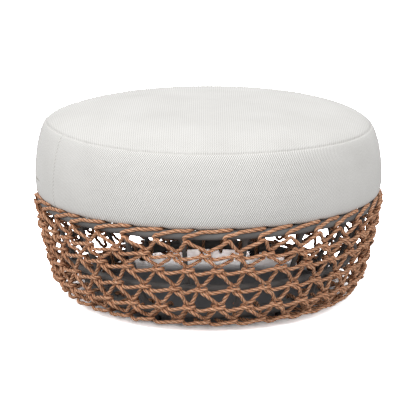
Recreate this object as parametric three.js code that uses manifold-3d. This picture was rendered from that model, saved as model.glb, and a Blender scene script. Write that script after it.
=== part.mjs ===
// Outdoor ottoman footstool: a tubular frame, a knotted rope basket and a round boxed cushion.
// Millimetres, +Z up, origin on the floor under the middle of the stool. The front faces -Y.
// An azimuth is counted from the front towards +X, and is written in degrees.

import * as THREE from "three";
import { mergeVertices } from "three/addons/utils/BufferGeometryUtils.js";
import Module from "manifold-3d";

const wasm = await Module();
wasm.setup();

// Frame of welded tube
const topRingRadius = 383;
const topRingHeight = 228;
const topTubeDiameter = 20;
const middleRingInset = 31.4;
const middleRingHeight = 101;
const middleTubeDiameter = 14;
const bottomRingRadius = 277;
const bottomTubeDiameter = 25;
const uprightDiameter = 11;
const uprightFlareWidth = 28;
const uprightFlareLength = 20;
const uprightInset = 5.5;
const uprightCount = 18;
const firstUprightAzimuth = -8;

// Push-in glides under the bottom ring
const glideHeight = 12.6;
const glideDiameter = 26;
const glideEdge = 2;
const glideSaddle = 4;
const glideCount = 6;
const firstGlideAzimuth = -24.75;

// Deck of flat bars inside the top ring
const slatWidth = 30;
const slatThickness = 5;
const slatInset = 2;
const slatCount = 7;

// Rope basket
const ropeDiameter = 8;
const ropeCrossing = 8.4;
const ropeCornerReach = 4;
const ropeStandOff = 0.5;
const crossingTilt = 37.5;
const rimTilt = 15;
const knotCount = 36;
const firstKnotAzimuth = -5.5;
const footRowReach = 63;
const footRowHeight = 21.5;
const rowHeightShares = [0.742, 0.585, 0.381, 0.187];
const rowRadiusShares = [0.87, 0.75, 0.55, 0.385];
const lashingTurnShares = [0.2, 0.35, 0.5, 0.65];

// Cushion
const cushionOverhang = 14.5;
const boxingHeight = 148;
const bottomSeamInset = 15;
const topSeamInset = 27;
const seamRise = 12.5;
const bottomTuckWidth = 34;
const crownRise = 44;
const coverThickness = 2;
const seamGap = 0.35;
const fullestHeightShare = 0.38;
const crownRoundness = 2.2;
const upperRoundness = 2.6;
const lowerRoundness = 4.5;
const lowerSideShares = [0, 0.3, 1];
const upperSideShares = [0, 0.3, 0.55, 0.78, 1];
const crownShares = [0.955, 0.86, 0.7, 0.45, 0];

// Zip round the back of the boxing
const boxingSeamAzimuth = -63;
const frontBoxingAngle = 180;
const zipHeight = 36;
const zipChainWidth = 9;
const zipStopAngle = 11;
const sliderLength = 14;
const sliderWidth = 9;
const sliderPlate = 2.2;
const earThickness = 2;
const pinDiameter = 1.8;
const eyeWall = 1.3;
const eyeClearance = 0.4;
const pullLength = 22;
const pullThickness = 1.6;

const clearance = 0.3;
const cutOverrun = 20;

const ringSegments = 54;
const middleRingSegments = 36;
const topTubeSides = 12;
const middleTubeSides = 8;
const bottomTubeSides = 8;
const cushionSegments = 44;
const chainSegments = 88;
const ropeSides = 6;
const lashingSides = 5;
const widestMitre = 1.25;

// Sizes and heights that follow from those above
const topTubeRadius = topTubeDiameter / 2;
const middleTubeRadius = middleTubeDiameter / 2;
const bottomTubeRadius = bottomTubeDiameter / 2;
const bottomRingHeight = glideHeight + clearance + bottomTubeRadius;
const ropeRadius = ropeDiameter / 2;
const deckTop = topRingHeight + topTubeRadius - slatInset;
const knotPitch = 360 / knotCount;
const chordDip = Math.cos(Math.PI / knotCount);
const cushionRadius = topRingRadius + cushionOverhang;
const cushionBottom = deckTop + clearance;
const bottomSeamHeight = cushionBottom + seamRise;
const topSeamHeight = bottomSeamHeight + boxingHeight;

// Rope rows from the rim down to the foot, as [radius, height]
const shoulder = (topTubeRadius + ropeRadius + clearance) * Math.SQRT1_2;
const rimRow = [(topRingRadius + shoulder) / chordDip, topRingHeight + shoulder];
const footRow = [bottomRingRadius + footRowReach, footRowHeight];
const rows = [
  rimRow,
  ...rowHeightShares.map((share, i) => [
    footRow[0] + (rimRow[0] - footRow[0]) * rowRadiusShares[i],
    footRow[1] + (rimRow[1] - footRow[1]) * share,
  ]),
  footRow,
];

// The middle ring lies behind the net, by its inset from the net's radius at the same height.
const rowBelowMiddle = rows.findIndex(([, height]) => height < middleRingHeight);
const [lowerRow, upperRow] = [rows[rowBelowMiddle], rows[rowBelowMiddle - 1]];
const middleShare = (middleRingHeight - lowerRow[1]) / (upperRow[1] - lowerRow[1]);
const middleRingRadius = lowerRow[0] + (upperRow[0] - lowerRow[0]) * middleShare - middleRingInset;

const colours = {
  frame: { color: 0x76716e, roughness: 0.55, metalness: 0.35 },
  rope: { color: 0xbd7f56, roughness: 0.9, metalness: 0 },
  fabric: { color: 0xe2e0db, roughness: 0.95, metalness: 0 },
  foam: { color: 0xefe9cf, roughness: 1, metalness: 0 },
  zip: { color: 0xc9c6bf, roughness: 0.5, metalness: 0 },
  metal: { color: 0xb4b2ae, roughness: 0.35, metalness: 0.9 },
  glide: { color: 0x1c1c1c, roughness: 0.7, metalness: 0 },
};

const stool = new THREE.Group();

function addNode(name, geometry, finish) {
  const mesh = new THREE.Mesh(geometry, new THREE.MeshStandardMaterial(colours[finish]));
  mesh.name = name;
  stool.add(mesh);
}

// Builds a mesh from corner points and triangles, and turns it right side out.
function solid(points, triangles) {
  let volume = 0;
  for (const [a, b, c] of triangles) {
    volume += points[a].dot(new THREE.Vector3().crossVectors(points[b], points[c]));
  }
  const index = volume < 0 ? triangles.map(([a, b, c]) => [a, c, b]) : triangles;
  const geometry = new THREE.BufferGeometry().setFromPoints(points);
  geometry.setIndex(index.flat());
  geometry.computeVertexNormals();
  return geometry;
}

function toManifold(geometry) {
  const bare = geometry.clone();
  bare.deleteAttribute("normal");
  bare.deleteAttribute("uv");
  const merged = mergeVertices(bare, 1e-4);
  return new wasm.Manifold(new wasm.Mesh({
    numProp: 3,
    vertProperties: new Float32Array(merged.attributes.position.array),
    triVerts: new Uint32Array(merged.index.array),
  }));
}

function fromManifold(body) {
  const mesh = body.getMesh();
  const geometry = new THREE.BufferGeometry();
  geometry.setAttribute("position", new THREE.BufferAttribute(new Float32Array(mesh.vertProperties), 3));
  geometry.setIndex(Array.from(mesh.triVerts));
  geometry.computeVertexNormals();
  return geometry;
}

// Cuts the tools out of a piece.
function cut(geometry, tools) {
  return fromManifold(tools.reduce((body, tool) => body.subtract(toManifold(tool)), toManifold(geometry)));
}

function at(radius, azimuth, height) {
  const turn = THREE.MathUtils.degToRad(azimuth);
  return new THREE.Vector3(radius * Math.sin(turn), -radius * Math.cos(turn), height);
}

function ring(radius, tubeRadius, height, sides, segments) {
  const geometry = new THREE.TorusGeometry(radius, tubeRadius, sides, segments);
  geometry.rotateZ(THREE.MathUtils.degToRad(firstUprightAzimuth - 90));
  return geometry.translate(0, 0, height);
}

// Each ring, or the space around it that another piece leaves free
function topRing(spare) {
  return ring(topRingRadius, topTubeRadius + spare, topRingHeight, topTubeSides, ringSegments);
}

function middleRing() {
  return ring(middleRingRadius, middleTubeRadius, middleRingHeight, middleTubeSides, middleRingSegments);
}

function bottomRing(spare) {
  return ring(bottomRingRadius, bottomTubeRadius + spare, bottomRingHeight, bottomTubeSides, ringSegments);
}

// Joins section rings that run round a closed route.
function closedSkin(sections) {
  const sides = sections[0].length;
  const triangles = [];
  sections.forEach((section, i) => {
    const next = (i + 1) % sections.length;
    for (let j = 0; j < sides; j += 1) {
      const a = i * sides + j;
      const b = i * sides + ((j + 1) % sides);
      const c = next * sides + j;
      const d = next * sides + ((j + 1) % sides);
      triangles.push([a, b, d], [a, d, c]);
    }
  });
  return solid(sections.flat(), triangles);
}

// Joins section rings from one end to the other and closes both ends.
function openSkin(sections) {
  const sides = sections[0].length;
  const triangles = [];
  for (let i = 0; i < sections.length - 1; i += 1) {
    for (let j = 0; j < sides; j += 1) {
      const a = i * sides + j;
      const b = i * sides + ((j + 1) % sides);
      triangles.push([a, b, b + sides], [a, b + sides, a + sides]);
    }
  }
  const last = (sections.length - 1) * sides;
  for (let j = 1; j < sides - 1; j += 1) {
    triangles.push([0, j + 1, j], [last, last + j, last + j + 1]);
  }
  return solid(sections.flat(), triangles);
}

// A closed loop of rope through the given corners, mitred at each one. The tilt, in degrees down from
// straight outwards, turns a corner of the section to face the rope that crosses it.
function ropeLoop(corners, sides, tilt) {
  const count = corners.length;
  const legs = corners.map((corner, i) => corners[(i + 1) % count].clone().sub(corner).normalize());
  const tangents = legs.map((leg, i) => leg.clone().add(legs[(i + count - 1) % count]).normalize());
  const start = new THREE.Vector3(corners[0].x, corners[0].y, 0).normalize();
  const normals = [start.clone().addScaledVector(tangents[0], -start.dot(tangents[0])).normalize()];
  const turned = (normal, from, to) => (
    normal.clone().applyQuaternion(new THREE.Quaternion().setFromUnitVectors(from, to))
  );
  for (let i = 1; i < count; i += 1) {
    normals.push(turned(normals[i - 1], tangents[i - 1], tangents[i]));
  }
  const back = turned(normals[count - 1], tangents[count - 1], tangents[0]);
  const side = new THREE.Vector3().crossVectors(tangents[0], normals[0]);
  const twist = -Math.atan2(back.dot(side), back.dot(normals[0]));
  const sections = corners.map((corner, i) => {
    const into = legs[(i + count - 1) % count];
    const bend = legs[i].clone().sub(into);
    const grow = bend.length() > 0 ? Math.min(widestMitre, 1 / into.dot(tangents[i])) - 1 : 0;
    bend.normalize();
    const across = new THREE.Vector3().crossVectors(tangents[i], normals[i]);
    return Array.from({ length: sides }, (_, j) => {
      const angle = THREE.MathUtils.degToRad(tilt) + (2 * Math.PI * j) / sides + (twist * i) / count;
      const offset = normals[i].clone().multiplyScalar(ropeRadius * Math.cos(angle));
      offset.addScaledVector(across, ropeRadius * Math.sin(angle));
      offset.addScaledVector(bend, grow * offset.dot(bend));
      return corner.clone().add(offset);
    });
  });
  return closedSkin(sections);
}

// Turns an outline of [radius, height] points about Z, from one azimuth to another. An outline that
// starts and ends on the axis makes a full round body, and any other outline is closed on itself.
function revolved(outline, from, sweep, steps) {
  const full = Math.abs(sweep) >= 360;
  const onAxis = outline[0][0] === 0;
  const columns = full ? steps : steps + 1;
  const points = [];
  const rows = outline.map(([radius, height]) => {
    const first = points.length;
    const single = radius === 0;
    for (let i = 0; i < (single ? 1 : columns); i += 1) {
      points.push(at(radius, from + (sweep * i) / steps, height));
    }
    return (i) => (single ? first : first + (i % columns));
  });
  const triangles = [];
  const edges = onAxis ? outline.length - 1 : outline.length;
  for (let k = 0; k < edges; k += 1) {
    const low = rows[k];
    const high = rows[(k + 1) % outline.length];
    for (let i = 0; i < steps; i += 1) {
      if (low(i) !== low(i + 1)) {
        triangles.push([low(i), low(i + 1), high(i + 1)]);
      }
      if (high(i) !== high(i + 1)) {
        triangles.push([low(i), high(i + 1), high(i)]);
      }
    }
  }
  if (!full) {
    const flat = outline.map(([radius, height]) => new THREE.Vector2(radius, height));
    const clockwise = THREE.ShapeUtils.isClockWise(flat);
    for (const [a, b, c] of THREE.ShapeUtils.triangulateShape(flat, [])) {
      const face = clockwise ? [a, c, b] : [a, b, c];
      const start = face.map((k) => rows[k](0));
      const end = face.map((k) => rows[k](steps));
      const facing = clockwise ? [end, start] : [start, end];
      triangles.push(facing[0], [facing[1][0], facing[1][2], facing[1][1]]);
    }
  }
  return solid(points, triangles);
}

// Frame
const lean = Math.atan2(topRingRadius - middleRingRadius, topRingHeight - middleRingHeight);
const behindMiddle = (middleTubeRadius + uprightDiameter / 2 + clearance) / Math.cos(lean);
const uprightPath = new THREE.CatmullRomCurve3([
  at(topRingRadius - uprightInset, 0, topRingHeight - topTubeRadius / 2),
  at(middleRingRadius - behindMiddle, 0, middleRingHeight),
  at(bottomRingRadius, 0, bottomRingHeight + bottomTubeRadius / 2),
]);

function upright() {
  const length = uprightPath.getLength();
  const flare = uprightFlareLength / length;
  const ends = topTubeRadius / length;
  const lengths = uprightPath.getLengths();
  const knee = lengths[Math.floor(lengths.length / 2)] / length;
  const top = [0, ends, ends + flare / 2, ends + flare];
  const shares = [...top, knee, ...top.map((share) => 1 - share).reverse()];
  const sides = 6;
  const sideways = new THREE.Vector3(1, 0, 0);
  const sections = shares.map((share) => {
    const centre = uprightPath.getPointAt(share);
    const depth = new THREE.Vector3().crossVectors(uprightPath.getTangentAt(share), sideways);
    const fromEnd = Math.max(0, Math.min(share, 1 - share) - ends) / flare;
    const widening = Math.max(0, 1 - fromEnd) ** 2;
    const halfWidth = (uprightDiameter + (uprightFlareWidth - uprightDiameter) * widening) / 2;
    return Array.from({ length: sides }, (_, j) => {
      const angle = (2 * Math.PI * (j + 0.5)) / sides;
      return centre.clone()
        .addScaledVector(sideways, halfWidth * Math.cos(angle))
        .addScaledVector(depth, (uprightDiameter / 2) * Math.sin(angle));
    });
  });
  const turn = THREE.MathUtils.degToRad(firstUprightAzimuth);
  return cut(openSkin(sections).rotateZ(turn), [topRing(clearance), bottomRing(clearance)]);
}

function addFrame() {
  addNode("top_ring", topRing(0), "frame");
  addNode("middle_ring", middleRing(), "frame");
  addNode("bottom_ring", bottomRing(0), "frame");
  const first = upright();
  for (let i = 0; i < uprightCount; i += 1) {
    const turn = (2 * Math.PI * i) / uprightCount;
    addNode(`upright_${String(i + 1).padStart(2, "0")}`, first.clone().rotateZ(turn), "frame");
  }
}

// Deck
function addDeck() {
  const pitch = (2 * (topRingRadius - topTubeRadius)) / (slatCount + 1);
  const height = topTubeDiameter + cutOverrun;
  const disc = new THREE.CylinderGeometry(topRingRadius, topRingRadius, height, ringSegments);
  disc.rotateX(Math.PI / 2).translate(0, 0, topRingHeight);
  const within = toManifold(disc);
  for (let i = 0; i < slatCount; i += 1) {
    const bar = new THREE.BoxGeometry(slatWidth, 2 * topRingRadius, slatThickness);
    bar.translate((i - (slatCount - 1) / 2) * pitch, 0, deckTop - slatThickness / 2);
    const shortened = fromManifold(toManifold(bar).intersect(within));
    addNode(`deck_slat_${i + 1}`, cut(shortened, [topRing(clearance)]), "frame");
  }
}

// Glides
function addGlides() {
  const radius = glideDiameter / 2;
  const top = glideHeight + glideSaddle;
  const outline = [
    new THREE.Vector2(0, 0),
    new THREE.Vector2(radius - glideEdge, 0),
    new THREE.Vector2(radius, glideEdge),
    new THREE.Vector2(radius, top - glideEdge),
    new THREE.Vector2(radius - glideEdge, top),
    new THREE.Vector2(0, top),
  ];
  for (let i = 0; i < glideCount; i += 1) {
    const foot = new THREE.LatheGeometry(outline, 12).rotateX(Math.PI / 2);
    const place = at(bottomRingRadius, firstGlideAzimuth + (360 * i) / glideCount, 0);
    foot.translate(place.x, place.y, 0);
    addNode(`glide_${i + 1}`, cut(foot, [bottomRing(clearance)]), "glide");
  }
}

// Rope basket
function knots(radius, height, pitches) {
  const azimuths = Array.from({ length: knotCount }, (_, i) => firstKnotAzimuth + (i + pitches) * knotPitch);
  return azimuths.map((azimuth) => at(radius, azimuth, height));
}

// A zigzag comes up in front of what is above it and goes down behind the row below. Its legs lie along
// the line that touches the two from opposite sides, and run on a little past both.
function zigzag(band) {
  const onRing = band === 0;
  const above = onRing ? new THREE.Vector2(topRingRadius, topRingHeight) : new THREE.Vector2(...rows[band]);
  const below = new THREE.Vector2(...rows[band + 1]);
  const spacing = onRing ? topTubeRadius + ropeRadius + clearance : ropeCrossing;
  const rise = above.clone().sub(below);
  const sine = (spacing + ropeCrossing) / rise.length();
  const upwards = rise.clone().normalize();
  const outwards = new THREE.Vector2(upwards.y, -upwards.x);
  const cosine = Math.sqrt(1 - sine ** 2);
  const aside = outwards.clone().multiplyScalar(cosine).addScaledVector(upwards, -sine);
  const along = upwards.clone().multiplyScalar(cosine).addScaledVector(outwards, sine);
  above.addScaledVector(aside, spacing).addScaledVector(along, ropeCornerReach);
  below.addScaledVector(aside, -ropeCrossing).addScaledVector(along, -ropeCornerReach);
  const upper = knots(above.x, above.y, band / 2);
  const lower = knots(below.x, below.y, (band + 1) / 2);
  return upper.flatMap((knot, i) => [knot, lower[i]]);
}

// The lashing runs from the foot row round the bottom tube and back out, once between two knots.
function lashing() {
  const wrap = bottomTubeRadius + ropeRadius + ropeStandOff;
  const corners = [[1, 1], [-1, 1], [-1, -1], [1, -1]];
  const outer = footRow[0] * chordDip - ropeRadius * (1 + widestMitre) - clearance;
  return Array.from({ length: knotCount }, (_, i) => {
    const azimuth = firstKnotAzimuth + (i + rows.length / 2) * knotPitch;
    const turns = corners.map(([out, up], k) => {
      const turned = azimuth + lashingTurnShares[k] * knotPitch;
      return at(bottomRingRadius + out * wrap, turned, bottomRingHeight + up * wrap);
    });
    return [at(outer, azimuth, footRowHeight), ...turns];
  }).flat();
}

function addBasket() {
  rows.forEach(([radius, height], i) => {
    const tilt = i === 0 ? rimTilt : crossingTilt;
    addNode(`rope_row_${i + 1}`, ropeLoop(knots(radius, height, i / 2), ropeSides, tilt), "rope");
  });
  for (let band = 0; band < rows.length - 1; band += 1) {
    addNode(`rope_zigzag_${band + 1}`, ropeLoop(zigzag(band), ropeSides, crossingTilt), "rope");
  }
  addNode("rope_foot_lashing", ropeLoop(lashing(), lashingSides, 0), "rope");
}

// Cushion skin, from the middle of the bottom out, up the bulging boxing and in over the crown
function bulge(share) {
  const above = share > fullestHeightShare;
  const reach = above ? 1 - fullestHeightShare : fullestHeightShare;
  return 1 - (Math.abs(share - fullestHeightShare) / reach) ** (above ? upperRoundness : lowerRoundness);
}

function sideRadius(height) {
  const share = (height - bottomSeamHeight) / boxingHeight;
  const seams = bottomSeamInset + (topSeamInset - bottomSeamInset) * share;
  const fullest = bottomSeamInset + (topSeamInset - bottomSeamInset) * fullestHeightShare;
  return cushionRadius - seams + fullest * bulge(share);
}

const zipMiddle = bottomSeamHeight + zipHeight;
const chainLow = zipMiddle - zipChainWidth / 2;
const chainHigh = zipMiddle + zipChainWidth / 2;
const bottomSeamRadius = cushionRadius - bottomSeamInset;
const topSeamRadius = cushionRadius - topSeamInset;
const lowerSide = lowerSideShares.map((share) => bottomSeamHeight + (chainLow - bottomSeamHeight) * share);
const upperSide = upperSideShares.map((share) => chainHigh + (topSeamHeight - chainHigh) * share);
const skin = [
  [0, cushionBottom],
  [bottomSeamRadius - bottomTuckWidth, cushionBottom],
  ...[...lowerSide, ...upperSide].map((height) => [sideRadius(height), height]),
  ...crownShares.map((share) => [
    topSeamRadius * share,
    topSeamHeight + crownRise * Math.sqrt(1 - share ** crownRoundness),
  ]),
];
const bottomSeam = 2;
const chainFoot = bottomSeam + lowerSide.length - 1;
const topSeam = chainFoot + upperSide.length;

// Moves the whole skin in by a distance, with every point on the mitre line of its two edges.
function inside(distance) {
  return skin.map(([radius, height], i) => {
    const before = skin[Math.max(i - 1, 0)];
    const after = skin[Math.min(i + 1, skin.length - 1)];
    const into = new THREE.Vector2(radius - before[0], height - before[1]).normalize();
    const out = new THREE.Vector2(after[0] - radius, after[1] - height).normalize();
    if (radius === 0) {
      return [radius, height + Math.sign(into.x + out.x) * distance];
    }
    const mitre = new THREE.Vector2(-into.y - out.y, into.x + out.x);
    mitre.multiplyScalar(distance / (1 + into.dot(out)));
    return [radius + mitre.x, height + mitre.y];
  });
}

// A cover panel between two seams of the skin, drawn back from each seam by half the gap.
function panel(from, to, azimuth, sweep, columns) {
  const outer = skin.slice(from, to + 1);
  const inner = inside(coverThickness).slice(from, to + 1);
  const drawnBack = (end, next) => {
    const step = new THREE.Vector2(outer[next][0] - outer[end][0], outer[next][1] - outer[end][1]);
    return step.setLength(seamGap / 2);
  };
  for (const [end, next] of [[0, 1], [outer.length - 1, outer.length - 2]]) {
    if (outer[end][0] > 0) {
      const step = drawnBack(end, next);
      outer[end] = [outer[end][0] + step.x, outer[end][1] + step.y];
      inner[end] = [inner[end][0] + step.x, inner[end][1] + step.y];
    }
  }
  return revolved([...outer, ...inner.reverse()], azimuth, sweep, columns);
}

const seamAngle = THREE.MathUtils.radToDeg(seamGap / cushionRadius);
const zipAngle = 360 - frontBoxingAngle;
const sliderAzimuth = boxingSeamAzimuth - zipAngle + zipStopAngle;

function boxing(from, to, sweep, segments) {
  const inset = (Math.sign(sweep) * seamAngle) / 2;
  const columns = Math.round((segments * Math.abs(sweep)) / 360);
  return panel(from, to, boxingSeamAzimuth + inset, sweep - 2 * inset, columns);
}

function roundPanel(from, to) {
  return panel(from, to, boxingSeamAzimuth, 360, cushionSegments);
}

function addCushion() {
  const core = revolved(inside(coverThickness + clearance), boxingSeamAzimuth, 360, cushionSegments);
  const frontBoxing = boxing(bottomSeam, topSeam, frontBoxingAngle, cushionSegments);
  const lowerPanel = boxing(bottomSeam, chainFoot, -zipAngle, cushionSegments);
  const upperPanel = boxing(chainFoot + 1, topSeam, -zipAngle, cushionSegments);
  addNode("foam_core", core, "foam");
  addNode("cover_bottom_panel", roundPanel(0, bottomSeam), "fabric");
  addNode("cover_top_panel", roundPanel(topSeam, skin.length - 1), "fabric");
  addNode("cover_front_boxing", frontBoxing, "fabric");
  addNode("cover_zip_panel_lower", lowerPanel, "fabric");
  addNode("cover_zip_panel_upper", upperPanel, "fabric");
  addNode("zip_chain", boxing(chainFoot, chainFoot + 1, -zipAngle, chainSegments), "zip");
}

// Zip slider: a plate on the chain with two ears and the pin that the pull swings on
const plateInner = Math.max(sideRadius(chainLow), sideRadius(chainHigh)) + clearance;
const eyeRadius = pinDiameter / 2 + eyeClearance + eyeWall;
const pinReach = plateInner + sliderPlate + eyeRadius + eyeClearance;
const eyeWidth = sliderLength - 2 * earThickness - 2 * eyeClearance;

function placedOnZip(geometry) {
  return geometry.rotateZ(THREE.MathUtils.degToRad(sliderAzimuth)).translate(0, 0, zipMiddle);
}

function zipSlider() {
  const plate = new THREE.BoxGeometry(sliderLength, sliderPlate, sliderWidth);
  plate.translate(0, -plateInner - sliderPlate / 2, 0);
  const earDepth = pinReach + pinDiameter - plateInner;
  const ears = [-1, 1].map((side) => {
    const ear = new THREE.BoxGeometry(earThickness, earDepth, 2 * pinDiameter);
    return ear.translate((side * (sliderLength - earThickness)) / 2, -plateInner - earDepth / 2, 0);
  });
  const pin = new THREE.CylinderGeometry(pinDiameter / 2, pinDiameter / 2, sliderLength - earThickness, 8);
  pin.rotateZ(Math.PI / 2).translate(0, -pinReach, 0);
  const parts = [plate, ...ears, pin].map(toManifold);
  return placedOnZip(fromManifold(parts.reduce((whole, part) => whole.add(part))));
}

function zipPull() {
  const eye = new THREE.CylinderGeometry(eyeRadius, eyeRadius, eyeWidth, 12);
  eye.rotateZ(Math.PI / 2).translate(0, -pinReach, 0);
  const tab = new THREE.BoxGeometry(eyeWidth, pullThickness, pullLength);
  tab.translate(0, -pinReach, -pullLength / 2);
  const bore = pinDiameter / 2 + eyeClearance;
  const hole = new THREE.CylinderGeometry(bore, bore, eyeWidth + cutOverrun, 12);
  hole.rotateZ(Math.PI / 2).translate(0, -pinReach, 0);
  return placedOnZip(cut(fromManifold(toManifold(eye).add(toManifold(tab))), [hole]));
}

addFrame();
addDeck();
addGlides();
addBasket();
addCushion();
addNode("zip_slider", zipSlider(), "metal");
addNode("zip_pull", zipPull(), "metal");

export default stool;
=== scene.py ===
"""The looks of an outdoor ottoman footstool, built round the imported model.

Metres, +Z up, the front faces -Y. An azimuth is counted from the front towards +X, in degrees. The sections
follow the stool as it is put together: frame, deck, glides, rope basket, cushion, zip, and then the room.
"""

import math
import random
from functools import partial

import bmesh
import bpy
import numpy as np
from mathutils import Matrix, Vector


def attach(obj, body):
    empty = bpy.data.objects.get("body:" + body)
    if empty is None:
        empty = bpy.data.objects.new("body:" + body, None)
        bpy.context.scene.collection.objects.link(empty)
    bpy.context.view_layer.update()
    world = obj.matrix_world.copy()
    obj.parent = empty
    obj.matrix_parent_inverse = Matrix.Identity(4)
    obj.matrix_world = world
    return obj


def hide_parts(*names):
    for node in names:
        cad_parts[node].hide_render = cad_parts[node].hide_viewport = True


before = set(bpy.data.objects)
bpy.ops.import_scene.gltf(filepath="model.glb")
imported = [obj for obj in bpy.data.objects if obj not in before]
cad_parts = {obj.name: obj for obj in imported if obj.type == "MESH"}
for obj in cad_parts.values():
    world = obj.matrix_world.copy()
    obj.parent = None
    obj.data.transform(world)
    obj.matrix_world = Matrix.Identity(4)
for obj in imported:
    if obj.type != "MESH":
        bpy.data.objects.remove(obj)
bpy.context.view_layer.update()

# Frame rings
# Three rings of round aluminium tube: a top ring that the rope hangs from, a thin one halfway down and a thick
# one at the foot. Each is rolled, butt-welded and powder-coated in a warm grey with a fine orange-peel grain.
top_ring_radius = 0.383
top_ring_height = 0.228
top_tube_radius = 0.010
middle_ring_radius = 0.338
middle_ring_height = 0.101
middle_tube_radius = 0.007
bottom_ring_radius = 0.277
bottom_ring_height = 0.0254
bottom_tube_radius = 0.0125
ring_segments = 216
tube_sides = 24
coat_colour = (0.135, 0.129, 0.126, 1)
coat_worn_colour = (0.205, 0.197, 0.191, 1)
coat_grain = 900
coat_cloud = 14
black = (0, 0, 0, 1)
white = (1, 1, 1, 1)


def at(radius, azimuth, height):
    turn = math.radians(azimuth)
    return Vector((radius * math.sin(turn), -radius * math.cos(turn), height))


class Shading:
    """A node tree, with short ways to add nodes to it and to join them."""

    def __init__(self, tree):
        self.tree = tree

    def feed(self, socket, value):
        """Joins an output to a socket, or sets the socket to a plain value."""
        if isinstance(value, bpy.types.NodeSocket):
            self.tree.links.new(value, socket)
        else:
            socket.default_value = value

    def add(self, kind, inputs=(), **settings):
        node = self.tree.nodes.new("ShaderNode" + kind)
        for key, value in settings.items():
            setattr(node, key, value)
        for key, value in dict(inputs).items():
            self.feed(node.inputs[key], value)
        return node

    def maths(self, operation, *values):
        return self.add("Math", enumerate(values), operation=operation).outputs[0]

    def place(self):
        return self.add("TexCoord").outputs["Object"]

    def parts(self, vector):
        return self.add("SeparateXYZ", {"Vector": vector}).outputs

    def noise(self, coordinates, scale, detail=3.0, roughness=0.5):
        inputs = {"Vector": coordinates, "Scale": scale, "Detail": detail, "Roughness": roughness}
        return self.add("TexNoise", inputs).outputs["Fac"]

    def ramp(self, factor, *stops):
        node = self.add("ValToRGB", {"Fac": factor})
        ends = node.color_ramp.elements
        for end, stop in ((ends[0], stops[0]), (ends[1], stops[-1])):
            end.position, end.color = stop
        for position, colour in stops[1:-1]:
            ends.new(position).color = colour
        return node.outputs["Color"]

    def rise(self, value, start, end):
        return self.ramp(value, (start, black), (end, white))

    def mix(self, kind, factor, first, second):
        inputs = {"Factor": factor, 6: first, 7: second}
        return self.add("Mix", inputs, data_type="RGBA", blend_type=kind).outputs[2]

    def total(self, *parts):
        """Adds up outputs, each times its own share."""
        added = 0.0
        for output, share in parts:
            added = self.maths("MULTIPLY_ADD", output, share, added)
        return added

    def wave(self, value):
        return self.maths("SINE", self.maths("MULTIPLY", value, 2 * math.pi))

    def scaled(self, parts, *scales):
        inputs = {axis: self.maths("MULTIPLY", parts[axis], scale) for axis, scale in zip("XY", scales)}
        return self.add("CombineXYZ", inputs).outputs["Vector"]


class Finish(Shading):
    """A material of one surface shader, with its roughness and the plain values of other sockets."""

    def __init__(self, name, roughness, others=()):
        self.material = bpy.data.materials.new(name)
        self.material.use_nodes = True
        super().__init__(self.material.node_tree)
        self.surface = self.tree.nodes["Principled BSDF"]
        for key, value in [("Roughness", roughness), *others]:
            self.surface.inputs[key].default_value = value

    def colour(self, output):
        self.feed(self.surface.inputs["Base Color"], output)

    def bump(self, height, distance, strength):
        bump = self.add("Bump", {"Height": height, "Distance": distance, "Strength": strength})
        self.feed(self.surface.inputs["Normal"], bump.outputs["Normal"])


def grained(name, roughness, cloud, stops, bump, grain=None, others=()):
    """A finish whose colour comes from one noise and whose fine relief from another, or from the same."""
    finish = Finish(name, roughness, others)
    place = finish.place()
    clouds = finish.noise(place, *cloud)
    finish.colour(finish.ramp(clouds, *stops))
    finish.bump(finish.noise(place, *grain) if grain else clouds, *bump)
    return finish.material


def keep(piece, material, body, node):
    """Gives a finished piece its material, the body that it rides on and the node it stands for."""
    piece.data.materials.clear()
    piece.data.materials.append(material)
    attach(piece, body)
    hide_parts(node)


def primitive(name, add, **settings):
    """A piece made by one of the mesh operators, with its place and size applied."""
    bpy.ops.object.select_all(action="DESELECT")
    add(**settings)
    piece = bpy.context.object
    piece.name = name
    bpy.ops.object.transform_apply(location=True, rotation=True, scale=True)
    return piece


coat = grained(
    "warm_grey_powder_coat", 0.52, (coat_cloud, 2.0), [(0.3, coat_colour), (0.75, coat_worn_colour)],
    (0.0004, 0.5), (coat_grain, 2.0), [("Specular IOR Level", 0.2)])
for name, radius, height, tube in (
    ("top_ring", top_ring_radius, top_ring_height, top_tube_radius),
    ("middle_ring", middle_ring_radius, middle_ring_height, middle_tube_radius),
    ("bottom_ring", bottom_ring_radius, bottom_ring_height, bottom_tube_radius),
):
    ring = primitive(
        name + "_tube", bpy.ops.mesh.primitive_torus_add, location=(0, 0, height), major_radius=radius,
        minor_radius=tube, major_segments=ring_segments, minor_segments=tube_sides)
    bpy.ops.object.shade_smooth()
    keep(ring, coat, "root", name)

# Uprights
# Eighteen thin tubes behind the net, from the top ring down past the middle ring to the bottom ring. Their ends
# are flattened into a flare and welded to the rings, which leaves a small rippled bead.
upright_count = 18
first_upright_azimuth = -8
upright_radius = 0.0055
upright_flare_width = 0.028
upright_flare_length = 0.020
upright_top_inset = 0.0055
upright_middle_gap = 0.0003
weld_width = 0.0045
weld_rise = 0.0011
weld_ripples = 9
weld_ripple_share = 0.25
upright_sides = 24
upright_steps = 40


def on_curve(before, start, end, after, t):
    """The point at the share t of the smooth curve from start to end, between the points before and after."""
    return 0.5 * (2 * start + (end - before) * t + (2 * before - 5 * start + 4 * end - after) * t ** 2
                  + (3 * start - before - 3 * end + after) * t ** 3)


def rounded_path(corners, steps):
    """A smooth open line through the corners."""
    points = [2 * corners[0] - corners[1], *corners, 2 * corners[-1] - corners[-2]]
    line = []
    for span in zip(points, points[1:], points[2:], points[3:]):
        line += [on_curve(*span, step / steps) for step in range(steps)]
    return line + [corners[-1]]


def add_object(name, data):
    piece = bpy.data.objects.new(name, data)
    bpy.context.scene.collection.objects.link(piece)
    return piece


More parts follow.
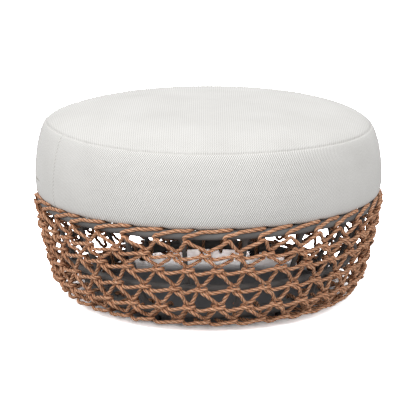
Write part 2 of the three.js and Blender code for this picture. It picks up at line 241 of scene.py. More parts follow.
def make_mesh(name, points, faces):
    mesh = bpy.data.meshes.new(name)
    mesh.from_pydata([tuple(p) for p in points], [], faces)
    mesh.update()
    mesh.shade_smooth()
    return add_object(name, mesh)


def upright_points():
    lean = math.atan2(top_ring_radius - middle_ring_radius, top_ring_height - middle_ring_height)
    behind = (middle_tube_radius + upright_radius + upright_middle_gap) / math.cos(lean)
    corners = [
        Vector((0, upright_top_inset - top_ring_radius, top_ring_height)),
        Vector((0, behind - middle_ring_radius, middle_ring_height)),
        Vector((0, -bottom_ring_radius, bottom_ring_height)),
    ]
    line = rounded_path(corners, upright_steps)
    length = sum((b - a).length for a, b in zip(line, line[1:]))
    points = []
    travelled = 0
    for i, centre in enumerate(line):
        if i:
            travelled += (centre - line[i - 1]).length
        ahead = (line[min(i + 1, len(line) - 1)] - line[max(i - 1, 0)]).normalized()
        outward = ahead.cross(Vector((1, 0, 0)))
        ends = ((travelled, top_tube_radius), (length - travelled, bottom_tube_radius))
        from_ring, ring_tube = min(ends, key=lambda end: end[0] - end[1])
        beyond = max(0, from_ring - ring_tube)
        flare = max(0, 1 - beyond / upright_flare_length) ** 2
        bead = max(0, 1 - beyond / weld_width) ** 0.5
        half_width = upright_radius + (upright_flare_width / 2 - upright_radius) * flare
        for j in range(upright_sides):
            angle = 2 * math.pi * j / upright_sides
            ripple = weld_rise * bead * (1 + weld_ripple_share * math.cos(weld_ripples * angle))
            points.append(
                centre + Vector((1, 0, 0)) * (half_width + ripple) * math.cos(angle)
                + outward * (upright_radius + ripple) * math.sin(angle)
            )
    return points


def grid_faces(rows, columns, closed=True):
    """Faces between neighbouring rows of points, closed round from the last column to the first or left open."""
    faces = []
    for i in range(rows - 1):
        for j in range(columns if closed else columns - 1):
            k = (j + 1) % columns
            faces.append((i * columns + j, i * columns + k, (i + 1) * columns + k, (i + 1) * columns + j))
    return faces


def tube_faces(rings, sides):
    """Faces of an open tube of section rings, with both ends closed."""
    ends = [tuple(reversed(range(sides))), tuple(range((rings - 1) * sides, rings * sides))]
    return grid_faces(rings, sides) + ends


def edit_mesh(piece, *edits):
    form = bmesh.new()
    form.from_mesh(piece.data)
    for edit in edits:
        edit(form)
    form.to_mesh(piece.data)
    form.free()


def face_outwards(form):
    bmesh.ops.recalc_face_normals(form, faces=form.faces)


first_upright = make_mesh("upright_01_tube", upright_points(), tube_faces(2 * upright_steps + 1, upright_sides))
edit_mesh(first_upright, face_outwards)
first_upright.data.transform(Matrix.Rotation(math.radians(first_upright_azimuth), 4, "Z"))
keep(first_upright, coat, "root", "upright_01")
for i in range(1, upright_count):
    upright = add_object(f"upright_{i + 1:02d}_tube", first_upright.data.copy())
    upright.data.transform(Matrix.Rotation(2 * math.pi * i / upright_count, 4, "Z"))
    keep(upright, coat, "root", f"upright_{i + 1:02d}")

# Deck
# Seven flat bars lie across the top ring, a little below its top, and carry the cushion. Their ends are cut to
# the ring and welded to it, and their long edges are eased.
slat_count = 7
slat_width = 0.030
slat_thickness = 0.005
slat_inset = 0.002
slat_edge = 0.0012
slat_end_play = 0.002


def apply_modifier(piece, kind, **settings):
    bpy.ops.object.select_all(action="DESELECT")
    piece.select_set(True)
    bpy.context.view_layer.objects.active = piece
    modifier = piece.modifiers.new(kind.lower(), kind)
    for key, value in settings.items():
        setattr(modifier, key, value)
    bpy.ops.object.modifier_apply(modifier=modifier.name)


def smooth_below(angle):
    bpy.ops.object.shade_smooth_by_angle(angle=math.radians(angle))


def deck_slat(name, across):
    reach = math.sqrt(top_ring_radius ** 2 - (abs(across) + slat_width / 2) ** 2) - slat_end_play
    height = top_ring_height + top_tube_radius - slat_inset - slat_thickness / 2
    slat = primitive(name, bpy.ops.mesh.primitive_cube_add, size=1, location=(across, 0, height),
                     scale=(slat_width, 2 * reach, slat_thickness))
    apply_modifier(slat, "BEVEL", width=slat_edge, segments=3)
    smooth_below(40)
    return slat


slat_pitch = 2 * (top_ring_radius - top_tube_radius) / (slat_count + 1)
for i in range(slat_count):
    slat = deck_slat(f"deck_bar_{i + 1}", (i - (slat_count - 1) / 2) * slat_pitch)
    keep(slat, coat, "root", f"deck_slat_{i + 1}")

# Glides
# Six black plastic feet under the bottom ring, each turned with a rounded foot and a saddle that takes the tube.
glide_count = 6
first_glide_azimuth = -24.75
glide_radius = 0.013
glide_height = 0.0126
glide_saddle = 0.004
glide_edge = 0.0018
glide_sides = 40
glide_colour = (0.012, 0.012, 0.013, 1)
glide_scuff_colour = (0.045, 0.044, 0.043, 1)


def glide(name, azimuth):
    top = glide_height + glide_saddle
    foot = primitive(name, bpy.ops.mesh.primitive_cylinder_add, vertices=glide_sides, radius=glide_radius,
                     depth=top, location=at(bottom_ring_radius, azimuth, top / 2))
    apply_modifier(foot, "BEVEL", width=glide_edge, segments=4)
    bpy.ops.object.mode_set(mode="EDIT")
    bpy.ops.mesh.select_all(action="DESELECT")
    bpy.ops.object.mode_set(mode="OBJECT")
    for face in foot.data.polygons:
        face.select = abs(face.normal.z) > 0.99
    bpy.ops.object.mode_set(mode="EDIT")
    bpy.ops.mesh.inset(thickness=glide_edge)
    bpy.ops.object.mode_set(mode="OBJECT")
    smooth_below(35)
    return foot


black_plastic = grained(
    "black_glide_plastic", 0.45, (160, 4.0, 0.6), [(0.45, glide_colour), (0.8, glide_scuff_colour)],
    (0.0002, 0.4), (1400, 1.0))
for i in range(glide_count):
    foot = glide(f"glide_foot_{i + 1}", first_glide_azimuth + 360 * i / glide_count)
    keep(foot, black_plastic, "root", f"glide_{i + 1}")

# Rope basket
# Hand-knotted net of one terracotta cord, three strands laid right-handed, about 8 mm thick. Six level rows are
# worked as an overlapping stitch, five zigzag bands hitch round them, and a lashing ties the foot to the frame.
rope_radius = 0.0042
rope_groove_share = 0.80
rope_flank_share = 0.93
rope_strands = 3
rope_sides = 12
rope_lay = 0.040
rope_step = 0.0021
rope_play = 0.0004
rope_swell = 0.03
rope_swell_reach = 0.011
rope_curve_steps = 14
knot_count = 36
first_knot_azimuth = -5.5
knot_slip = 0.35
lower_row_slip = -0.6
rim_knots_placed = range(-5, 8)
rim_slips = {-4: -1.5, -3: -0.4, -2: -0.6, 0: -0.7, 1: 1.5, 2: 2.2, 3: 1.0, 4: 1.5, 6: 0.7}
row_radii = [0.3946, 0.3875, 0.3810, 0.3700, 0.3610, 0.3400]
row_heights = [0.2381, 0.1822, 0.1482, 0.1040, 0.0620, 0.0245]
row_count = len(row_radii)
foot_row = row_count - 1
rope_dark_colour = (0.20, 0.058, 0.022, 1)
rope_middle_colour = (0.74, 0.322, 0.156, 1)
rope_light_colour = (1.0, 0.78, 0.565, 1)
# Painted shade: the dark colour laid into the grooves between the strands.
rope_groove_painted_shade_colour = (0.095, 0.030, 0.012, 1)
rope_shade_tint = (0.66, 0.61, 0.58, 1)
fibre_scales = (150, 60)
tone_scales = (26, 6)

# The rope's courses, in millimetres. A stitch of a level row, as (share of a pitch, along, up, out), starts low
# behind a knot, runs in front to the next, rises over the zigzag and folds back down behind it.
row_stitch = [
    (0, 5.8, -2, -4.4), (0, 10, -4.2, -1), (0, 16.5, -5, 1.8), (0, 25, -4, 3), (1, -24, 0, 3.4),
    (1, -15, 1.6, 3.8), (1, -6, 2.6, 4.4), (1, 1, 3.6, 4.6), (1, 6.4, 4.6, 2.2), (1, 8.2, 3.8, -2.4),
    (1, 6.6, 0.8, -5.4),
]

# The rim row turns once round the top ring at each knot, as (share of a pitch, along, degrees round the tube,
# distance from the middle of the tube). The cushion presses it flat where it goes over the ring.
rim_stitch = [
    (0, -6.6, -42, 14.2), (0, -7.6, -14, 14.4), (0, -4, 1, 14.6), (0, 3.4, 8, 14.6), (0, 13, 20, 14.2),
    (0, 24, 34, 14.2), (1, -25, 46, 14.2), (1, -11, 52, 14.2), (1, 1.6, 57, 13.8), (1, 7, 76, 12.2),
    (1, 8.2, 110, 12), (1, 5, 160, 13.4), (1, 0, 215, 14.2), (1, -4.6, 270, 14.2),
]
rim_turn_along = 0.0076

# A zigzag at its upper knot, as (along, up, out): it turns behind the row, comes out under it over the start of
# the next stitch, and bends down into the straight leg to the next knot below.
hitch_over_row = [
    (-12.2, -6.6, -0.8), (-13.6, -0.8, -3.6), (-12.8, 3.6, -4.6), (-9, 4.4, -4.6), (-6, 0.8, -3.6),
    (-3.6, -3.4, 0), (1.4, -6.2, 3.6), (8, -8, 6), (12.6, -11.8, 6.2),
]

# The same at the top ring, with up and out counted from the middle of the ring's tube.
hitch_at_rim = [
    (-6.6, -14.6, 15), (-2.6, -11.2, 16), (0.4, -9.4, 16), (3.2, -11.8, 15.6), (6.2, -16, 14.6),
]

# And at its lower knot, where it turns sharply behind the row.
turn_behind_row = [
    (-9.2, 14.2, -1.2), (-6.2, 10.2, -3.4), (-2.8, 9.4, -3.6), (0.8, 11.2, -2.8), (4.8, 14, -0.8),
]
first_band_shift = 5.0

# The lashing leaves the foot row, goes once round the bottom tube and comes back, as (share of a pitch, out, up).
lashing_wrap = [(0, 0, 0), (0.24, 1, 1), (0.36, -1, 1), (0.44, -1, -1), (0.58, 1, -1)]
lashing_bulge = 1.16
lashing_tube_gap = 0.0003
lashing_knot_inset = 0.0075


def knot_azimuths(draw):
    """The azimuth of every knot of every row, with the small slips of work done by hand."""
    azimuths = []
    for row in range(row_count):
        line = []
        for knot in range(knot_count):
            azimuth = first_knot_azimuth + (knot + row / 2) * 360 / knot_count
            signed = knot if knot < knot_count / 2 else knot - knot_count
            slip = draw.gauss(0, knot_slip)
            if row == 0 and signed in rim_knots_placed:
                slip = rim_slips.get(signed, 0)
            if row > 1:
                slip += lower_row_slip
            line.append(azimuth + slip)
        azimuths.append(line)
    return azimuths


def knot_azimuth(row, knot):
    turns, place = divmod(knot, knot_count)
    return knots[row][place] + 360 * turns


def near_row(row, azimuth, along, up, out):
    """A point beside a row, counted along it, up the net and out of the net, in millimetres."""
    above = max(row - 1, 0)
    below = min(row + 1, foot_row)
    slope = Vector((row_radii[above] - row_radii[below], row_heights[above] - row_heights[below])).normalized() / 1000
    radius = row_radii[row] + up * slope.x + out * slope.y
    height = row_heights[row] + up * slope.y - out * slope.x
    return at(radius, azimuth + math.degrees(along / 1000 / row_radii[row]), height)


def near_top_ring(azimuth, along, up, out):
    radius = top_ring_radius + out / 1000
    return at(radius, azimuth + math.degrees(along / 1000 / top_ring_radius), top_ring_height + up / 1000)


def round_top_tube(azimuth, along, angle, reach):
    turn = math.radians(angle)
    return near_top_ring(azimuth, along, reach * math.sin(turn), reach * math.cos(turn))


def stitches(row, course, place):
    """The same course of the rope from each knot of a row to the next."""
    route = []
    for knot in range(knot_count):
        here = knot_azimuth(row, knot)
        there = knot_azimuth(row, knot + 1)
        route += [place(here + (there - here) * share, *rest) for share, *rest in course]
    return route


def zigzag_route(band):
    """The turns of a zigzag at its upper and lower knots, joined by straight legs."""
    turns = []
    shift = first_band_shift if band == 0 else 0
    for knot in range(knot_count):
        upper = knot_azimuth(band, knot)
        lower = knot_azimuth(band + 1, knot)
        if band == 0:
            turns.append([near_top_ring(upper, *place) for place in hitch_at_rim])
        else:
            turns.append([near_row(band, upper, *place) for place in hitch_over_row])
        turns.append([near_row(band + 1, lower, along + shift, up, out) for along, up, out in turn_behind_row])
    route = []
    for turn, after in zip(turns, turns[1:] + turns[:1]):
        leg = after[0] - turn[-1]
        route += turn + [turn[-1] + leg * 0.25, turn[-1] + leg * 0.75]
    return route


def lashing_place(azimuth, out, up):
    """A place on the foot row, where out is zero, or beside the bottom tube."""
    if out == 0:
        return at(row_radii[foot_row] - lashing_knot_inset, azimuth, row_heights[foot_row])
    corner = (bottom_tube_radius + rope_radius + lashing_tube_gap) * math.sqrt(0.5) * lashing_bulge
    return at(bottom_ring_radius + out * corner, azimuth, bottom_ring_height + up * corner)


def smooth_loop(route):
    """Points at even steps along a smooth closed line through the route."""
    corners = np.array([tuple(p) for p in route])
    before = np.roll(corners, 1, axis=0)
    after = np.roll(corners, -1, axis=0)
    to_next = np.linalg.norm(after - corners, axis=1)[:, None]
    from_last = np.linalg.norm(corners - before, axis=1)[:, None]
    heading = (after - corners) / to_next * from_last + (corners - before) / from_last * to_next
    heading /= from_last + to_next
    pieces = []
    for t in np.linspace(0, 1, rope_curve_steps, endpoint=False):
        start = 2 * t ** 3 - 3 * t ** 2 + 1
        lean_start = (t ** 3 - 2 * t ** 2 + t) * to_next
        lean_end = (t ** 3 - t ** 2) * to_next
        pieces.append(start * corners + (1 - start) * after + lean_start * heading
                      + lean_end * np.roll(heading, -1, axis=0))
    line = np.stack(pieces, axis=1).reshape(-1, 3)
    closed = np.vstack([line, line[:1]])
    travelled = np.concatenate([[0], np.cumsum(np.linalg.norm(np.diff(closed, axis=0), axis=1))])
    count = round(travelled[-1] / rope_step)
    places = np.linspace(0, travelled[-1], count, endpoint=False)
    even = np.stack([np.interp(places, travelled, closed[:, axis]) for axis in range(3)], axis=1)
    for _ in range(2):
        even = (np.roll(even, 1, axis=0) + 2 * even + np.roll(even, -1, axis=0)) / 4
    return even, travelled[-1]


def section_frames(line):
    """A normal at every point of a closed line, carried along it without twist and closed evenly."""
    ahead = np.roll(line, -1, axis=0) - np.roll(line, 1, axis=0)
    ahead /= np.linalg.norm(ahead, axis=1)[:, None]
    normals = np.empty_like(line)
    normal = np.cross(ahead[0], (0.0, 0.0, 1.0))
    normals[0] = normal / np.linalg.norm(normal)
    for i in range(1, len(line)):
        normal = normals[i - 1] - ahead[i] * np.dot(normals[i - 1], ahead[i])
        normals[i] = normal / np.linalg.norm(normal)
    last = normals[-1] - ahead[0] * np.dot(normals[-1], ahead[0])
    twist = math.atan2(np.dot(last, np.cross(ahead[0], normals[0])), np.dot(last, normals[0]))
    return ahead, normals, twist


def laid_rope(name, route, draw):
    """A closed loop of three-strand rope along the route, with its strands in the mesh."""
    played = [p + Vector([draw.gauss(0, rope_play) for _ in range(3)]) for p in route]
    line, length = smooth_loop(played)
    ahead, normals, twist = section_frames(line)
    across = np.cross(ahead, normals)
    count = len(line)
    turns = round(length / rope_lay * rope_strands) / rope_strands
    spin = (2 * math.pi * turns - twist) * np.arange(count) / count
    shares = [rope_groove_share, rope_flank_share, 1.0, rope_flank_share] * rope_strands
    swell = 1 + rope_swell * np.sin(np.arange(count) * rope_step / rope_swell_reach + draw.random() * 6)
    rings = []
    for side in range(rope_sides):
        angle = 2 * math.pi * side / rope_sides + spin
        radius = rope_radius * shares[side] * swell
        rings.append(line + normals * (radius * np.cos(angle))[:, None] + across * (radius * np.sin(angle))[:, None])
    points = np.stack(rings, axis=1).reshape(-1, 3)
    i, j = np.meshgrid(np.arange(count), np.arange(rope_sides), indexing="ij")
    k = (j + 1) % rope_sides
    after = (i + 1) % count
    here, there = i * rope_sides, after * rope_sides
    faces = np.stack([here + j, here + k, there + k, there + j], axis=-1)
    piece = make_mesh(name, points, faces.reshape(-1, 4).tolist())
    along = np.stack([i, i, i + 1, i + 1], axis=-1) * length / count
    around = np.stack([j, j + 1, j + 1, j], axis=-1) / rope_sides
    layer = piece.data.uv_layers.new(name="lay")
    layer.data.foreach_set("uv", np.stack([along, around], axis=-1).reshape(-1).astype(np.float32))
    return piece


def terracotta_cord():
    """Fibres run along the strands, lighter on the crowns, with painted shade in the grooves between them."""
    finish = Finish("terracotta_cord", 0.56, [("Specular IOR Level", 0.16)])
    lay = finish.parts(finish.add("UVMap", uv_map="lay").outputs["UV"])
    fibres = finish.noise(finish.scaled(lay, *fibre_scales), 1.0, 4.0, 0.62)
    tones = finish.noise(finish.scaled(lay, *tone_scales), 1.0, 2.0)
    strand = finish.maths("PINGPONG", lay["Y"], 0.5 / rope_strands)
    crown = finish.maths("MULTIPLY", strand, 2.0 * rope_strands)
    fibre_colour = finish.ramp(
        fibres, (0.33, rope_dark_colour), (0.48, rope_middle_colour), (0.62, rope_light_colour))
    tone_colour = finish.ramp(tones, (0.35, rope_shade_tint), (0.65, white))
    toned = finish.mix("MULTIPLY", 1.0, fibre_colour, tone_colour)
    # Painted shade: towards each groove the fibre colour gives way to the dark groove colour.
    finish.colour(finish.mix("MIX", finish.rise(crown, 0.02, 0.45), rope_groove_painted_shade_colour, toned))
    finish.bump(fibres, 0.0006, 0.8)
    return finish.material


draw = random.Random(7)
knots = knot_azimuths(draw)
cord = terracotta_cord()
routes = [("rope_row_1", stitches(0, rim_stitch, round_top_tube))]
routes += [(f"rope_row_{row + 1}", stitches(row, row_stitch, partial(near_row, row))) for row in range(1, row_count)]
routes += [(f"rope_zigzag_{band + 1}", zigzag_route(band)) for band in range(foot_row)]
routes += [("rope_foot_lashing", stitches(foot_row, lashing_wrap, lashing_place))]
for name, route in routes:
    rope = laid_rope(name + "_cord", route, draw)
    keep(rope, cord, "root", name)

# Cushion form
# The foam core swells the sewn cover, so both take their shape from one cloth simulation: the cover's seams are
# held, air pressure stands in for the foam, and the result is drawn to the full cushion's outline.
outline_radii = [0.0, 0.175, 0.350, 0.368, 0.3810, 0.3880, 0.3945, 0.3975, 0.3965, 0.394, 0.390, 0.385, 0.379, 0.370,
                 0.345, 0.290, 0.220, 0.120, 0.0]
outline_heights = [0.2363, 0.2363, 0.2363, 0.2366, 0.2384, 0.2412, 0.2500, 0.274, 0.305, 0.325, 0.350, 0.368, 0.384,
                   0.3968, 0.4115, 0.4280, 0.4365, 0.4415, 0.4430]
bottom_seam_point = 4
top_seam_point = 13
form_steps = 4
form_columns = 288
start_shrink = 0.006
start_crown_drop = 0.008
start_unevenness = 0.0002
cloth_settings = {
    "quality": 5, "mass": 0.3, "tension_stiffness": 20, "compression_stiffness": 20, "shear_stiffness": 8,
    "bending_stiffness": 1.5, "use_pressure": True, "uniform_pressure_force": 4.0, "vertex_group_mass": "held",
}
seam_hold = 0.9
simulated_frames = 20
largest_move = 0.025
calm_radius = 0.14
boxing_seam_azimuth = -58.2
plump_places = [(0.008, -75), (-0.004, 70)]
plump_spread = 33
plump_from = 0.30
under_height = 0.25
under_fade = 0.03
rope_dent = 0.0060
rope_dent_width = 0.0078
deck_sag = 0.0036
slat_rest_share = 0.35
deck_sag_radii = (0.369, 0.378)
rope_dent_radii = (0.366, 0.3915)


def part_way(value, start, end):
    return np.clip((value - start) / (end - start), 0, 1)


def degrees_from(turn, azimuth):
    return np.mod(np.degrees(turn) - azimuth + 180, 360) - 180


def turned_grid(rows):
    turns = np.radians(boxing_seam_azimuth + 360 * np.arange(form_columns) / form_columns)
    height = np.repeat(rows[:, 1:], form_columns, axis=1)
    return np.stack([rows[:, :1] * np.sin(turns), -rows[:, :1] * np.cos(turns), height], axis=-1)


def simulated_form():
    """Swells a slightly smaller, flatter cushion with its seams held, and gives the grid of its points."""
    rows = outline[1:-1].copy()
    share = np.arange(1, len(outline) - 1) / form_steps
    boxing = part_way(share, bottom_seam_point, top_seam_point)
    rows[:, 0] -= start_shrink * np.sin(np.pi * boxing)
    crown = part_way(share, top_seam_point, len(outline_radii) - 1)
    rows[:, 1] -= start_crown_drop * np.sin(np.pi * crown / 2)
    start = turned_grid(rows)
    noise = np.random.default_rng(11)
    start += noise.normal(0, start_unevenness, start.shape)
    count = len(rows)
    body = make_mesh("cushion_form", start.reshape(-1, 3), grid_faces(count, form_columns))
    held = body.vertex_groups.new(name="held")
    for i in range(count):
        pressed = share[i] <= bottom_seam_point - 1
        if pressed or share[i] in (bottom_seam_point, top_seam_point):
            row = list(range(i * form_columns, (i + 1) * form_columns))
            held.add(row, 1.0 if pressed else seam_hold, "REPLACE")
    cloth = body.modifiers.new("swelling", "CLOTH")
    for key, value in cloth_settings.items():
        setattr(cloth.settings, key, value)
    cloth.settings.effector_weights.gravity = 0
    cloth.collision_settings.use_collision = False
    for number in range(1, simulated_frames + 1):
        bpy.context.scene.frame_set(number)
    seen = body.evaluated_get(bpy.context.evaluated_depsgraph_get())
    swollen = np.empty(len(seen.data.vertices) * 3)
    seen.data.vertices.foreach_get("co", swollen)
    bpy.context.scene.frame_set(1)
    bpy.data.objects.remove(body)
    moved = swollen.reshape(start.shape) - start
    distance = np.linalg.norm(moved, axis=-1, keepdims=True)
    moved *= np.minimum(1, largest_move / np.maximum(distance, 1e-9))
    return start + moved


def fitted_form():
    """Draws the simulated form to the full outline, and keeps the unevenness of each row."""
    form = simulated_form()
    radius = np.hypot(form[..., 0], form[..., 1])
    turn = np.arctan2(form[..., 0], -form[..., 1])
    uneven_radius = radius - radius.mean(axis=1, keepdims=True)
    uneven_height = form[..., 2] - form[..., 2].mean(axis=1, keepdims=True)
    uneven_height = uneven_height * np.clip(radius / calm_radius, 0, 1) ** 2
    radius = outline[1:-1, :1] + uneven_radius
    height = outline[1:-1, 1:] + uneven_height
    share = part_way(height, plump_from, outline_heights[top_seam_point])
    share = share * np.minimum(1, radius / outline_radii[top_seam_point]) ** 2
    for rise, azimuth in plump_places:
        height = height + rise * share * np.exp(-(degrees_from(turn, azimuth) / plump_spread) ** 2)
    rope_turns = np.array(knots[0]) + math.degrees(rim_turn_along / top_ring_radius)
    away = np.radians(np.abs(degrees_from(turn[..., None], rope_turns)).min(axis=-1)) * top_ring_radius
    close = np.exp(-(away / rope_dent_width) ** 2)
    over_ring = np.sin(np.pi * part_way(radius, *rope_dent_radii)) ** 0.5
    below = (height < under_height) * np.clip((plump_from - height) / under_fade, 0, 1)
    height = height + rope_dent * close * over_ring * below
    between_slats = np.sin(np.pi * radius * np.sin(turn) / slat_pitch) ** 2
    between_slats = np.clip(between_slats * (1 + slat_rest_share) - slat_rest_share, 0, 1)
    within = 1 - part_way(radius, *deck_sag_radii)
    height = height - deck_sag * between_slats * within * below * (1 - close)
    grid = np.stack([radius * np.sin(turn), -radius * np.cos(turn), height], axis=-1)
    low, high = (np.tile([0, 0, outline[end, 1]], (1, form_columns, 1)) for end in (0, -1))
    return np.concatenate([low, grid, high])


def between(values, places):
    """Smooth values at the given places along the first axis."""
    last = len(values) - 1
    cell = np.clip(np.floor(places).astype(int), 0, last - 1)
    t = (places - cell).reshape((-1,) + (1,) * (values.ndim - 1))
    before = values[np.maximum(cell - 1, 0)]
    after = values[np.minimum(cell + 2, last)]
    return on_curve(before, values[cell], values[cell + 1], after, t)


# The full cushion's outline as rows of (radius, height), smooth between the given points.
corners = [Vector((r, h, 0)) for r, h in zip(outline_radii, outline_heights)]
outline = np.array([(p.x, p.y) for p in rounded_path(corners, form_steps)])
form = fitted_form()

# Foam core
# A round block of open-cell foam, crowned on top, that fills the cover to its seams.
foam_inset = 0.0035
foam_light_colour = (0.86, 0.82, 0.66, 1)
foam_dark_colour = (0.70, 0.65, 0.48, 1)


def outward_normals(grid):
    around = np.roll(grid, -1, axis=1) - np.roll(grid, 1, axis=1)
    along = np.gradient(grid, axis=0)
    normals = np.cross(around, along)
    normals[0] = (0, 0, -1)
    normals[-1] = (0, 0, 1)
    return normals / np.linalg.norm(normals, axis=-1, keepdims=True)


def foam_core():
    rows = form[1:-1] - foam_inset * outward_normals(form)[1:-1]
    count = len(rows)
    points = list(rows.reshape(-1, 3))
    faces = grid_faces(count, form_columns)
    points.append((0, 0, form[0, 0, 2] + foam_inset))
    points.append((0, 0, form[-1, 0, 2] - foam_inset))
    top = (count - 1) * form_columns
    for j in range(form_columns):
        k = (j + 1) % form_columns
        faces.append((len(points) - 2, k, j))
        faces.append((len(points) - 1, top + j, top + k))
    return make_mesh("foam_core_block", points, faces)


core = foam_core()
foam = grained(
    "open_cell_foam", 0.95, (1300, 2.0, 0.7), [(0.35, foam_dark_colour), (0.6, foam_light_colour)],
    (0.0005, 0.7))
keep(core, foam, "cushion", "foam_core")

# Cushion cover
# Five panels of off-white outdoor fabric in a thick dobby weave, sewn inside out with plain seams: a crowned top, a
# flat bottom, a boxing strip round the front, and two strips round the back that the zip joins.
cover_thickness = 0.0013
seam_depth = 0.0026
seam_deepest_share = 1.3
seam_width = 0.0021
seam_allowance = 0.0045
pucker_height = 0.00035
pucker_length = 0.019
pucker_reach = 0.016
pucker_rates = (0.6, 1.0, 1.7)
front_boxing_angle = 117 - boxing_seam_azimuth
zip_height = 0.2848
zip_gap = 0.0050
zip_open_to_azimuth = 286.5
zip_closed_from_azimuth = 291.5
zip_lip_reach = 0.012
edge_steps = [0.0, 0.0010, 0.0022, 0.0038, 0.0064]
corner_ripple_height = 0.0011
corner_ripple_length = 0.013
corner_ripple_reach = 0.034
corner_ripple_fade = 0.006
corner_ripple_slant = 0.6
weave_across = 0.0046
weave_along = 0.0075
weave_soft_range = (0.19, 0.28)
weave_soft_share = 0.25
falling_share = 0.4
yarn_scales = (900, 240)
yarn_share = 0.5
cover_cloud = 9
cloud_share = 0.25
top_weave_shares = (0.08, 0.11)
side_weave_shares = (0.55, 0.05)
panel_spacing_up = 0.0075
panel_spacing_round = 0.0087
weld_distance = 1e-6
cover_light_colour = (0.900, 0.893, 0.873, 1)
cover_dark_colour = (0.430, 0.420, 0.395, 1)


def outdoor_fabric(name, float_share, rib_share):
    """A dobby weave: small raised floats in diagonal lines, over ribs that run along the cloth."""
    finish = Finish(name, 0.88, [("Sheen Weight", 0.15), ("Sheen Roughness", 0.6)])
    cloth = finish.parts(finish.add("UVMap", uv_map="cloth").outputs["UV"])
    place = finish.place()
    across = finish.total((cloth["X"], 1 / weave_across))
    along = finish.total((cloth["Y"], 1 / weave_along))
    rising = finish.wave(finish.total((across, 1.0), (along, -1.0)))
    falling = finish.wave(finish.total((across, 1.0), (along, 1.0)))
    ribs = finish.wave(across)
    yarn = finish.noise(finish.scaled(cloth, *yarn_scales), 1.0)
    cloud = finish.noise(place, cover_cloud)
    off_middle = finish.maths("ABSOLUTE", finish.parts(place)["X"])
    near, far = weave_soft_range
    crisp = finish.ramp(off_middle, (near, white), (far, (weave_soft_share,) * 3 + (1,)))
    floats = finish.maths("MULTIPLY", finish.total((rising, 1.0), (falling, falling_share)), crisp)
    weave = finish.total((floats, float_share), (ribs, rib_share), (yarn, yarn_share), (cloud, cloud_share))
    finish.colour(finish.ramp(weave, (0.0, cover_dark_colour), (0.85, cover_light_colour)))
    finish.bump(weave, 0.0005, 0.55)
    return finish.material


def row_of_height(height):
    """The place along the outline, counted in its rows, where the upright part of the boxing has that height."""
    low, high = (bottom_seam_point + 2) * form_steps, top_seam_point * form_steps
    rows = outline[low:high + 1, 1]
    return low + np.interp(height, rows, np.arange(len(rows)))


def places_between(start, end, length, edges, spacing):
    """Distances from one edge of a panel to the other: close together at sewn edges, then at the spacing."""
    first = [d for d in edge_steps if edges[0]] or [0.0]
    last = [length - d for d in edge_steps if edges[1]] or [length]
    span = last[-1] - first[-1]
    count = max(1, round(span / spacing))
    inner = [first[-1] + span * i / count for i in range(1, count)]
    distances = np.array(first + inner + last[::-1])
    return start + (end - start) * distances / length, distances


def cover_surface(rows, columns):
    """Points and normals of the cushion form at the given outline rows and form columns."""
    turned = np.mod(columns, form_columns) + 3
    found = []
    for values in (form, outward_normals(form)):
        wide = np.concatenate([values[:, -3:], values, values[:, :4]], axis=1)
        found.append(between(between(wide, rows).transpose(1, 0, 2), turned).transpose(1, 0, 2))
    points, normals = found
    return points, normals / np.linalg.norm(normals, axis=-1, keepdims=True)


def panel_lengths(rows):
    """Distances along the outline, in metres, for places counted in outline rows."""
    travelled = np.concatenate([[0], np.cumsum(np.hypot(*np.diff(outline, axis=0).T))])
    return np.interp(rows, np.arange(len(travelled)), travelled)


def panel_height(low, high):
    low_length, high_length = panel_lengths(np.array([low, high]))
    return high_length - low_length


def row_radius(low, high):
    """The panel's largest radius, which its boxing cloth is measured on."""
    return outline[math.floor(low):math.ceil(high) + 1, 0].max()


def panel_run(low, high, columns):
    return columns / form_columns * 2 * math.pi * row_radius(low, high)


def seam_dip(distance):
    return -seam_depth * np.exp(-(distance / seam_width) ** 2)


def zip_closing(columns):
    """How far each zip lip is drawn to the middle of the zip: the lips meet short of the seam where it ends."""
    azimuths = boxing_seam_azimuth + 360 * columns / form_columns
    closed = part_way(azimuths, zip_open_to_azimuth, zip_closed_from_azimuth)
    return zip_gap / 2 * closed * closed * (3 - 2 * closed)


